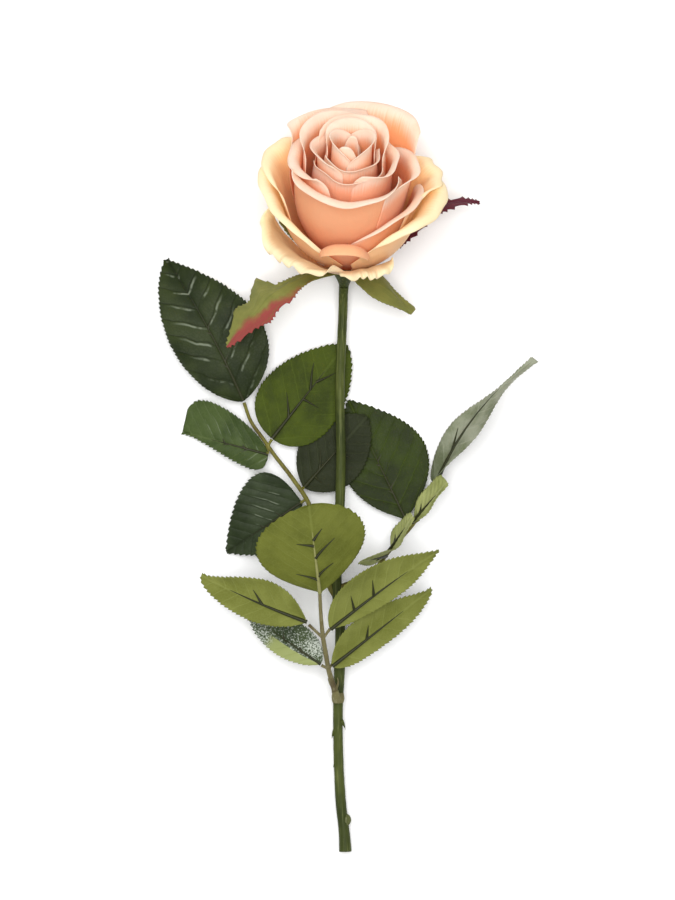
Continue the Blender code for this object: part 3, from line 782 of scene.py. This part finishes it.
# name, top, underside, side that faces up, branches of the rib, (base, tip, left, right), rest
LEAFLETS = (
    ("left_leaf_end", "dark_top", "green_under", UP, PAIRS,
     ((-55.8, 40.6, 7.0), (-97.0, 116.3, 1.2), (21.5, 0.7, 0.8), (26.5, 0.6, 1.1)),
     dict(arch=7, bend=2, fold=6, wave=1.0)),
    ("left_leaf_upper_out", "mid_top", "green_under", UP, PAIRS,
     ((-42.4, 11.9, 8.0), (-88.5, 24.1, 1.0), (9.5, 0.2, 1.5), (19.0, 0.7, 0.2)),
     dict(arch=4, fold=10, wave=0.8)),
    ("left_leaf_upper_in", "dark_top", "green_under", DOWN, ((0.22, -0.42, 0.38),
     (0.42, 0.46, 0.44), (0.52, -0.5, 0.72), (0.6, 0.34, 0.76)),
     ((-40.4, 20.5, 7.6), (-1.1, 70.8, 4.6), (22, 0.45, 0.85), (20.5, 0.45, 0.7)),
     dict(arch=-1.4, wave=0.4)),
    ("left_leaf_lower_out", "greyish_top", "green_under", UP, PAIRS,
     ((-24.6, -13.5, 8.8), (-64.9, -40.2, 1.0), (13.7, 0.9, 1.1), (25.5, 0.35, 1.0)),
     dict(arch=3, fold=6, wave=0.8)),
    ("left_leaf_lower_in", "dark_top", "shaded_green_under", DOWN, ((0.16, 0.5, 0.16), (0.24, -0.4, 0.42),
     (0.5, 0.5, 0.56)),
     ((-23.4, -5.6, 7.6), (10.1, 32.1, 4.2), (18.2, 0.7, 0.8), (17, 0.65, 0.8)),
     dict(arch=-1.4, wave=0.3)),
    ("right_leaf_end", "dark_top", "grey_under", DOWN, PAIRS[:1],
     ((47.2, -4.2, 12.9), (100.0, 62.4, 9.0), (12.5, 0.2, 1.3), (12, 1.6, 1.5)),
     dict(roll=60, arch=9, bend=-6.5, fold=6, wave=2.0)),
    ("right_leaf_upper_out", "dark_top", "light_under", DOWN, PAIRS[:1],
     ((34.6, -24.4, 15.2), (52.5, -2.6, 24.0), (10, 0.7, 0.35), (4, 0.5, 0.5)),
     dict(roll=58, arch=2, fold=8, wave=0.8)),
    ("right_leaf_upper_in", "green_top", "green_under", UP, PAIRS,
     ((30.8, -22.6, 8.2), (0.3, 41.0, 1.0), (19, 1.0, 1.1), (26.2, 0.9, 1.1)),
     dict(arch=-2.4, wave=0.3)),
    ("right_leaf_lower_out", "dark_top", "light_under", DOWN, PAIRS[:1],
     ((22.8, -38.8, 15.2), (34.4, -20.6, 26.0), (7, 0.5, 0.5), (5, 0.5, 0.5)),
     dict(roll=60, arch=2, fold=8, wave=0.6)),
    ("right_leaf_lower_in", "dark_top", "light_under", DOWN, PAIRS[:1],
     ((20.0, -41.4, 15.2), (5.8, -44.4, 38.0), (5, 0.6, 0.9), (7, 0.6, 0.9)),
     dict(roll=62, arch=2, fold=8)),
    ("front_leaf_end", "mid_top", "shaded_olive_under", DOWN, ((0.16, -0.5, 0.26), (0.2, 0.45, 0.34),
     (0.42, 0.42, 0.62), (0.56, -0.3, 0.6), (0.62, 0.2, 0.74)),
     ((-14.8, -60.2, 45.4), (-20.4, -14.4, 58.0), (30, 0.9, 0.75), (27, 0.95, 0.5)),
     dict(arch=4, fold=-6, wave=1.0)),
    ("front_leaf_upper_left", "dark_top", "olive_under", DOWN, ((0.4, 0.45, 0.52),),
     ((-21.6, -75.8, 36.2), (-77.4, -51.8, 26.0), (10.2, 0.7, 0.65), (14, 0.9, 1.5)),
     dict(roll=20, arch=4, bend=-1, fold=10, wave=0.8)),
    ("front_leaf_upper_right", "dark_top", "olive_under", DOWN, ((0.22, -0.5, 0.26),
     (0.4, -0.5, 0.46)),
     ((-9.2, -79.6, 37.0), (47.7, -38.4, 32.0), (18.4, 0.62, 1.2), (8, 1.0, 1.0)),
     dict(roll=-30, arch=4, bend=-1, fold=10, wave=0.8)),
    ("front_leaf_lower_left", "glinting_top", "olive_under", UP, PAIRS,
     ((-14.5, -99.0, 23.5), (-51.9, -73.4, 12.0), (8.5, 0.8, 0.75), (12, 0.4, 0.65)),
     dict(roll=10, arch=4, fold=8, wave=0.6)),
    ("front_leaf_lower_right", "dark_top", "olive_under", DOWN, ((0.34, -0.45, 0.42),),
     ((-8.4, -99.8, 24.0), (44.0, -59.1, 19.0), (14, 0.8, 1.4), (8.5, 0.5, 0.6)),
     dict(roll=-25, arch=3, fold=10, wave=0.6)),
)
LEAF_THICK = 0.4
LEAF_GRID = (56, 150)
# height of the swellings between veins
RELIEF = 0.35
# first and last radius of the midrib, and of a side rib
MIDRIB = (1.1, 0.2)
SIDE_RIB = (0.85, 0.12)


def rib_lines(shape, facing, branches):
    """Lines of the stiff ribs under a blade: the midrib, then one line for each branch."""
    ends = [((0.0, 0.0), (0.0, 0.72), *MIDRIB)]
    ends += [((0.0, leave), end, *SIDE_RIB) for leave, *end in branches]
    lines = []
    for (u0, v0), (u1, v1), thick, thin in ends:
        t = np.linspace(0.0, 1.0, 18)
        u = u0 + (u1 - u0) * t
        v = v0 + (v1 - v0) * t**0.9
        radius = thick + (thin - thick) * t
        depth = (LEAF_THICK * 0.5 + radius * 0.4)[:, None]
        places = shape(u, v) - shape_normal(shape, u, v) * facing * depth
        lines.append(np.column_stack([places, radius]))
    return lines


def shape_normal(shape, u, v):
    """Direction off a bent sheet, from its slopes across and along."""
    small = 0.01
    across = shape(u + small, v) - shape(u - small, v)
    along = shape(u, v + small) - shape(u, v - small)
    normal = np.cross(across, along)
    return normal / np.linalg.norm(normal, axis=1)[:, None]


RIB_SHINE = 0.2


def rib_finish(name, light, dark):
    """Stiff ribs: finely grained and a little shiny."""
    rib = Finish(name)
    grain = rib.noise(700.0)
    colour = rib.mix(grain, tint(*light), tint(*dark))
    return rib.paint(colour, 0.45, rib.bump(grain, 0.3, 0.0003), RIB_SHINE)


dark_rib = rib_finish("stiff rib, dark", (52, 54, 24), (26, 30, 14))
pale_rib = rib_finish("stiff rib, pale", (150, 148, 96), (110, 112, 62))


def make_leaflets():
    """Every leaflet with its ribs."""
    for name, top, under, facing, branches, outline, values in LEAFLETS:
        shape, measures = leaf_shape(*outline, relief=RELIEF * facing, **values)
        faces = (leaf_sides[top], leaf_sides[under])
        if facing == DOWN:
            faces = faces[::-1]
        blade = sheet("blade_" + name, LEAF_GRID, shape, LEAF_THICK, faces, measures)
        install(blade, "leaf", name)
        smooth, _ = leaf_shape(*outline, teeth=0.0, **values)
        midrib, *side_ribs = rib_lines(smooth, facing, branches)
        middle = pale_rib if name == "front_leaf_end" else dark_rib
        install(stalks("midrib_" + name, [midrib], middle, 8), "stem")
        install(stalks("side_ribs_" + name, side_ribs, dark_rib, 8), "stem")
    print("leaflets:", len(LEAFLETS), "each about", len(blade.data.polygons), "faces")


make_leaflets()

# %% [markdown]
# ## Stem and leaf stalks
# The stem of a rose is round and a little uneven, with streaks along it. It is the longest swept
# line. The left and right leaf stalks leave it at one joint and the front one lower down, each
# with short side stalks for its paired leaflets. Under the front one sits a brown collar with two
# small pointed ears, the stipules.

# %% Stem finish
BARK_SHINE = 0.12


def bark(name, ground, shade, light, roughness=0.45):
    """Green plastic-like bark with streaks along the stem and small pale flecks."""
    skin = Finish(name)
    light = tint(*light)
    streak = skin.noise(1.0, stretch=(900.0, 45.0, 900.0))
    fine = skin.noise(1500.0)
    colour = skin.mix(skin.step(skin.noise(60.0), 0.35, 0.7), tint(*ground), tint(*shade))
    colour = skin.mix(skin.step(streak, 0.5, 0.75) * 0.6, colour, light)
    colour = skin.mix(skin.step(fine, 0.62, 0.75) * 0.25, colour, light)
    bent = skin.bump(streak * 0.8 + fine * 0.5, 0.4, 0.0004)
    return skin.paint(colour, fine * 0.15 + roughness, bent, BARK_SHINE)


stem_face = bark("stem bark", (70, 78, 34), (48, 56, 24), (108, 114, 66))
stalk_green = bark("leaf stalk, green", (112, 110, 50), (86, 78, 36), (140, 134, 74))
stalk_brown = bark("leaf stalk, brown", (108, 102, 68), (80, 70, 48), (140, 134, 104))
collar_face = bark("collar", (124, 120, 80), (90, 84, 54), (168, 162, 126), 0.6)
scar_face = bark("old scar", (96, 102, 56), (66, 72, 36), (190, 190, 160))
pith_face = bark("pith", (176, 170, 128), (140, 132, 92), (200, 196, 160), 0.8)

# %% Stem and stalks
# each point is x, y, z and radius
STEM = (
    (-1.4, -200.1, 3.5, 3.35), (-1.6, -194.8, 3.6, 3.1), (-4.0, -171.5, 4.6, 2.8),
    (-4.8, -156.1, 5.4, 2.65), (-5.3, -124.8, 7.6, 2.65), (-4.5, -101.5, 9.6, 2.95),
    (-4.2, -79.2, 10.8, 2.7), (-6.1, -57.0, 11.2, 2.85), (-4.2, -11.9, 10.8, 2.6),
    (-3.7, 12.5, 10.6, 2.55), (-4.3, 44.8, 10.2, 2.5), (-3.6, 66.0, 9.0, 2.45),
    (-3.0, 80.0, 8.0, 2.45), (-2.6, 90.0, 8.0, 2.45), (-2.4, 97.0, 9.6, 2.5),
    (-2.2, 101.6, 12.4, 2.6),
)
# where an old side shoot was cut off
SCAR = (
    (-1.8, -180.2, 4.4, 0.9), (-0.9, -181.8, 4.6, 2.1), (-0.6, -184.0, 4.6, 2.2),
    (-1.4, -186.6, 4.4, 1.0),
)
PITH = ((-1.38, -200.25, 3.5, 2.4), (-1.4, -199.6, 3.5, 2.4))
LEFT_STALK = (
    (-6.0, -64.0, 11.2, 1.9), (-9.4, -58.6, 11.2, 1.7), (-12.4, -50.0, 11.0, 1.4),
    (-16.4, -32.0, 10.4, 1.25), (-21.2, -13.5, 9.8, 1.2), (-29.2, -1.3, 9.2, 1.15),
    (-39.8, 12.5, 8.6, 1.05), (-45.3, 20.4, 8.0, 1.0), (-51.9, 29.9, 7.4, 0.95),
    (-55.4, 39.6, 7.0, 0.9),
)
RIGHT_STALK = (
    (-5.6, -61.0, 11.2, 1.9), (-2.4, -58.2, 11.3, 1.6), (4.2, -56.0, 11.5, 1.35),
    (14.4, -49.6, 11.8, 1.25), (20.1, -41.6, 12.0, 1.2), (35.0, -24.6, 12.4, 1.05),
    (46.8, -5.8, 12.8, 0.9),
)
FRONT_STALK = (
    (-6.0, -117.4, 13.2, 1.7), (-8.0, -110.0, 17.0, 1.5), (-10.1, -102.6, 22.0, 1.35),
    (-11.7, -93.5, 29.0, 1.25), (-13.2, -84.0, 35.0, 1.2), (-14.3, -71.8, 41.0, 1.0),
    (-14.8, -61.0, 45.0, 0.95),
)
# side stalks, each from its start on the leaf stalk to its leaflet
LEFT_SIDES = (
    ((-43.4, 17.6, 8.3), (-42.6, 12.4, 8.1)), ((-42.6, 16.6, 8.3), (-40.6, 20.0, 8.0)),
    ((-22.4, -11.8, 9.7), (-25.0, -13.7, 9.0)), ((-25.6, -7.0, 9.5), (-23.6, -5.8, 7.8)),
)
RIGHT_SIDES = (
    ((35.0, -24.6, 12.4), (37.6, -22.6, 14.8)), ((34.4, -25.2, 12.4), (32.0, -22.4, 8.6)),
    ((20.4, -41.4, 12.0), (22.6, -38.6, 14.8)), ((19.8, -41.9, 12.0), (17.4, -42.8, 14.8)),
)
FRONT_SIDES = (
    ((-13.1, -84.6, 34.6), (-20.6, -77.6, 36.0)), ((-13.1, -84.6, 34.6), (-9.6, -79.8, 36.6)),
    ((-10.3, -101.6, 22.8), (-14.0, -99.6, 23.4)), ((-10.3, -101.6, 22.8), (-8.0, -98.4, 23.6)),
)


def make_stalks():
    """The stem, its pale cut end and the three leaf stalks."""
    stem = stalks("bare_stem", [smooth_path(STEM, 260)], stem_face, 28, 0.35, 160.0)
    install(stem, "stem", "stem")
    install(stalks("cut_pith", [PITH], pith_face, 28), "stem")
    scar = stalks("old_scar", [smooth_path(SCAR, 16)], scar_face, 18, 0.6, 500.0)
    install(scar, "stem")
    table = (("left_stalk", LEFT_STALK, LEFT_SIDES, stalk_green),
             ("right_stalk", RIGHT_STALK, RIGHT_SIDES, stalk_green),
             ("front_stalk", FRONT_STALK, FRONT_SIDES, stalk_brown))
    for name, line, sides, face in table:
        lines = [smooth_path(line, 90)]
        for start, end in sides:
            middle = 0.5 * (np.array(start) + end)
            lines.append([(*start, 0.9), (*middle, 0.72), (*end, 0.85)])
        stalk = stalks("swept_" + name, lines, face, 14, 0.15, 500.0)
        install(stalk, "stem", name)
    print("stem faces:", len(stem.data.polygons))


make_stalks()

# %% [markdown]
# ## Prickles
# Prickles are hooked spikes that point down the stem. They are scattered singly and all have one
# form, so a node tree places one bent cone at each point, turned along its direction and scaled.

# %% Prickles on points
SLIMNESS = 2.6
HOOK = 0.3
# base, the point that it aims at, and radius
PRICKLES = (
    ((-3.5, -130.4, 8.3), (1.4, -133.6, 9.6), 1.5),
    ((-6.6, -135.0, 7.6), (-10.8, -138.2, 8.6), 1.6),
    ((-6.0, -151.6, 6.4), (-9.0, -153.4, 7.6), 1.2),
    ((-3.2, -165.0, 5.0), (-0.2, -167.2, 5.8), 1.4),
    ((-2.2, -181.6, 4.2), (2.0, -184.2, 4.6), 1.9),
    ((-3.0, -192.6, 4.2), (-6.2, -195.4, 4.6), 1.4),
)


def prickle_tree():
    """A node tree that stands one hooked cone on every point, along its aim."""
    inputs = {"Points": "NodeSocketGeometry", "Finish": "NodeSocketMaterial"}
    graph, given, ids = open_tree("prickles", inputs, "Prickles")
    cone = graph.add("GeometryNodeMeshCone", {}, {
        "Vertices": 12, "Side Segments": 7, "Radius Top": 0.05, "Radius Bottom": 1.0,
        "Depth": SLIMNESS})
    place = graph.add("GeometryNodeInputPosition")
    place = graph.add("ShaderNodeSeparateXYZ", {}, {"Vector": place})
    height = Flow(graph.tree, place.socket.node.outputs[2])
    bend = graph.add("ShaderNodeCombineXYZ", {}, {"Y": height * height * -HOOK})
    cone = graph.add("GeometryNodeSetPosition", {}, {"Geometry": cone, "Offset": bend})
    turn = graph.add("FunctionNodeAlignRotationToVector", {"axis": "Z"}, {
        "Vector": stored(graph, "aim", "FLOAT_VECTOR")})
    spikes = graph.add("GeometryNodeInstanceOnPoints", {}, {
        "Points": given["Points"], "Instance": cone, "Rotation": turn,
        "Scale": stored(graph, "size")})
    close_tree(graph, spikes, given["Finish"], "Prickles")
    return graph.tree, ids


def make_prickles():
    """One hooked spike for each entry of the list, as one piece."""
    tree, sockets = prickle_tree()
    mesh = bpy.data.meshes.new("prickles")
    bases = [(np.array(base) + SHIFT) * MM for base, _, _ in PRICKLES]
    mesh.from_pydata([tuple(base) for base in bases], [], [])
    aims = np.array([np.array(tip) - np.array(base) for base, tip, _ in PRICKLES])
    mesh.attributes.new("aim", "FLOAT_VECTOR", "POINT").data.foreach_set("vector", aims.ravel())
    sizes = [radius * MM for _, _, radius in PRICKLES]
    mark(mesh, "size", sizes)
    mesh.materials.append(stem_face)
    spikes = add_object("stem_prickles", mesh)
    stand = spikes.modifiers.new("stand", "NODES")
    stand.node_group = tree
    stand[sockets["Finish"]] = stem_face
    install(settle(spikes), "stem")
    print("prickles:", len(PRICKLES), "faces:", len(spikes.data.polygons))


make_prickles()

# %% [markdown]
# ## Receptacle and collar
# Under the petals the stem swells into a green cup, the receptacle. It is round about the
# flower's axis, so its outline is turned once round. The collar is a short ring at the lowest
# leaf joint.

# %% Turned cup and collar
# radius and height on the flower's own axis
RECEPTACLE = (
    (5.6, -0.2), (6.5, -0.5), (6.9, -1.4), (6.9, -2.4), (6.6, -3.6), (6.0, -5.0), (5.2, -6.6),
    (4.3, -8.4), (3.5, -10.2), (2.9, -12.0), (2.7, -13.0),
)


CUP_SIDES = 64


def make_receptacle():
    """The swollen cup under the petals, turned from its outline."""
    edit = bmesh.new()
    loops = []
    for radius, height in RECEPTACLE:
        angles = np.linspace(0.0, 2.0 * math.pi, CUP_SIDES, endpoint=False)
        radii = radius * (1.0 + 0.02 * np.cos(5.0 * angles))
        places = flower_place(radii, angles, np.full(CUP_SIDES, height))
        loops.append([edit.verts.new(Vector(place + SHIFT) * MM) for place in places])
    for low, high in zip(loops, loops[1:]):
        for i in range(CUP_SIDES):
            j = (i + 1) % CUP_SIDES
            edit.faces.new((low[i], low[j], high[j], high[i]))
    edit.faces.new(loops[0])
    edit.faces.new(loops[-1])
    bmesh.ops.recalc_face_normals(edit, faces=edit.faces)
    for face in edit.faces:
        face.smooth = True
    mesh = mesh_from(edit, "green_cup")
    mesh.materials.append(stem_face)
    cup = add_object("green_cup", mesh)
    install(settle(cup), "stem", "receptacle")
    print("cup faces:", len(cup.data.polygons))


def make_collar():
    """The brown collar at the front leaf's joint and its two pointed stipules."""
    ring = ((-5.2, -120.2, 9.2, 2.9), (-5.25, -118.6, 9.4, 3.35), (-5.3, -116.4, 9.6, 3.3),
            (-5.1, -114.6, 9.8, 2.95))
    foot = ((-5.6, -119.0, 11.4, 1.9), (-6.0, -117.0, 13.4, 2.1), (-7.0, -113.6, 15.4, 1.8))
    ears = (((-7.4, -113.0, 15.0, 0.9), (-9.6, -109.4, 16.0, 0.6), (-10.6, -107.0, 15.6, 0.15)),
            ((-6.2, -112.4, 15.6, 0.8), (-5.2, -108.6, 18.0, 0.5), (-5.6, -106.4, 19.4, 0.12)))
    lines = [smooth_path(line, 16) for line in (ring, foot, *ears)]
    collar = stalks("joint_collar", lines, collar_face, 18, 0.3, 400.0)
    install(collar, "stem")
    print("collar faces:", len(collar.data.polygons))


make_receptacle()
make_collar()

# %% [markdown]
# ## Sepals
# Five sepals once closed the bud and now stand away under the flower. A garden rose's sepals are
# ragged, with narrow lobes, and one of these is flushed with crimson and another purple. Each is
# a bent sheet whose two edges have their own widths, with irregular teeth cut into them.

# %% Sepal shape and finish
# radius and height at which a sepal leaves the cup
SEPAL_FOOT = (7.5, -1.6)
SEPAL_TOOTH_PITCH = 3.1
SEPAL_SHINE = 0.15


def sepal_shape(turn, length, lean, low, high, teeth):
    """Bending rule of one sepal; low and high are its widths on either side of the middle."""
    bends = np.array((0.0, 0.3, 0.6, 1.0))
    places = np.linspace(0.0, 1.0, len(low))

    def shape(u, v):
        bend = np.radians(np.interp(v[:, None] * BEND_STEPS[None, :], bends, lean))
        radius = SEPAL_FOOT[0] + length * v * np.sin(bend).mean(axis=1)
        height = SEPAL_FOOT[1] + length * v * np.cos(bend).mean(axis=1)
        half = np.where(u < 0.0, np.interp(v, places, low), np.interp(v, places, high))
        along = v * length
        saw = np.mod(along / SEPAL_TOOTH_PITCH + 0.9 * np.sin(along / 4.0), 1.0) ** 2 * teeth
        saw = saw * np.clip((np.abs(u) - 0.7) / 0.3, 0.0, 1.0) * ease(v, 0.2, 0.4)
        aside = u * half + np.sign(u) * saw
        turned = np.radians(np.interp(v, bends, lean))
        ripple = 0.5 * np.sin(9.0 * v + 3.0 * u) * ease(v, 0.1, 0.5)
        ripple = ripple - 0.8 * (1.0 - np.abs(u)) ** 2
        radius = radius + ripple * np.cos(turned)
        height = height - ripple * np.sin(turned)
        return flower_place(radius, math.radians(turn) + np.arctan2(aside, radius), height)

    return shape


def sepal_face(name, ground, shade, flushed, begin, side):
    """Sepal finish: green with dark veins, flushed with crimson from begin on toward side."""
    leaf = Finish(name)
    place, across, along = leaf.blade()
    veins = leaf.noise(1.0, vector=place, stretch=(26.0, 2.5, 1.0))
    broad = leaf.noise(160.0)
    fine = leaf.noise(900.0)
    flush = leaf.step(along + (across - 0.5) * side + (broad - 0.5) * 0.5, begin, begin + 0.3)
    colour = leaf.mix(broad, ground, shade)
    colour = leaf.mix(flush, colour, flushed)
    colour = leaf.mix(leaf.step(veins, 0.5, 0.7) * 0.4, colour, shade)
    bent = leaf.bump(veins + fine * 0.4, 0.5, 0.0005)
    return leaf.paint(colour, fine * 0.2 + 0.45, bent, SEPAL_SHINE)


olive = tint(134, 132, 68)
deep_olive = tint(92, 98, 44)
crimson = tint(140, 62, 58)
purple = tint(92, 38, 50)
sepal_faces = {
    "green": sepal_face("sepal, green", olive, deep_olive, olive, 0.9, 0.0),
    "flushed": sepal_face("sepal, flushed", olive, deep_olive, crimson, 0.62, 0.9),
    "purple": sepal_face("sepal, purple", crimson, purple, purple, 0.3, -0.5),
}

# name, finish, (turn, length, lean, low, high) and the depth of the teeth
SEPALS = (
    ("sepal_right", "green",
     (-25, 37, (98, 112, 122, 124), (7.0, 11.0, 11.5, 9.0, 5.0, 0.6),
     (7.0, 10.0, 7.5, 5.0, 4.0, 4.5)),
     dict(teeth=0.6)),
    ("sepal_left", "flushed",
     (214, 74, (78, 98, 130, 132), (4.5, 4.5, 4.0, 4.0, 6.0, 24.0, 10.0, 15.0, 6.0, 0.5),
     (4.5, 4.5, 4.5, 6.0, 9.5, 8.0, 10.0, 5.5, 4.0, 0.5)),
     dict(teeth=2.0)),
    ("sepal_side_right", "purple",
     (20, 76, (80, 48, 52, 112), (4.5, 5.0, 4.5, 3.4, 3.4, 0.4), (4.5, 5.0, 4.5, 3.4, 3.0, 0.4)),
     dict(teeth=2.6)),
    ("sepal_side_left", "green",
     (155, 57, (78, 58, 44, 42), (4.0, 5.0, 4.5, 3.4, 2.2, 0.3), (4.0, 5.0, 4.5, 3.4, 2.2, 0.3)),
     dict(teeth=1.0)),
    ("sepal_under", "green",
     (92, 30, (74, 64, 56, 52), (4.0, 5.0, 4.5, 3.2, 1.8, 0.3), (4.0, 5.0, 4.5, 3.2, 1.8, 0.3)),
     dict(teeth=1.0)),
)
SEPAL_THICK = 0.6
SEPAL_GRID = (24, 110)


def make_sepals():
    """The five sepals."""
    for name, tone, outline, values in SEPALS:
        face = sepal_faces[tone]
        shape = sepal_shape(*outline, **values)
        blade = sheet("ragged_" + name, SEPAL_GRID, shape, SEPAL_THICK, (face, face))
        install(blade, "sepal", name)
    print("sepals:", len(SEPALS), "each about", len(blade.data.polygons), "faces")


make_sepals()

# %% [markdown]
# ## Camera, light and floor
# The rose lies on a white table and is seen from straight above, through a long lens placed two
# metres up, so near and far parts keep their true proportions. One broad lamp overhead gives the
# soft, nearly shadowless light of a product table, and a weaker one from the side keeps the
# petals' folds readable. A white world fills the rest.

# %% Stage
LENS_PLACE = (-0.0050, 0.0139, 2.02)
# half the height that the lens shows, and how far away that is
HALF_VIEW = 0.2385
VIEW_DISTANCE = 2.0
WORLD_LIGHT = 0.45
FLOOR_HALF = 3.0
FLOOR_HEIGHT = -0.0005
# name, place, size in metres and power in watts
LAMPS = (("front", (0.0, 0.05, 1.9), 1.2, 33.0), ("key", (-0.5, 0.7, 1.2), 0.9, 5.0))


def make_stage():
    """A white floor, soft light from above and a long lens straight above the rose."""
    scene = bpy.context.scene
    scene.view_settings.view_transform = "Standard"
    lens = bpy.data.cameras.new("lens")
    lens.sensor_fit = "VERTICAL"
    lens.angle = 2.0 * math.atan(HALF_VIEW / VIEW_DISTANCE)
    scene.camera = add_object("lens", lens)
    scene.camera.location = LENS_PLACE
    world = bpy.data.worlds.new("studio")
    scene.world = world
    world.use_nodes = True
    background = world.node_tree.nodes["Background"].inputs
    background["Color"].default_value = (1.0, 1.0, 1.0, 1.0)
    background["Strength"].default_value = WORLD_LIGHT
    edit = bmesh.new()
    bmesh.ops.create_grid(edit, x_segments=1, y_segments=1, size=FLOOR_HALF)
    mesh = mesh_from(edit, "floor")
    floor = add_object("floor", mesh)
    floor.location = (0.0, 0.0, FLOOR_HEIGHT)
    paper = Finish("white floor")
    white = {"Base Color": (1, 1, 1, 1), "Roughness": 0.9}
    mesh.materials.append(paper.finish(paper.add("ShaderNodeBsdfPrincipled", {}, white)))
    for name, place, size, power in LAMPS:
        light = bpy.data.lights.new(name, "AREA")
        light.size = size
        light.energy = power
        lamp = add_object(name, light)
        lamp.location = place
        lamp.rotation_euler = (-Vector(place)).to_track_quat("-Z", "Y").to_euler()


make_stage()
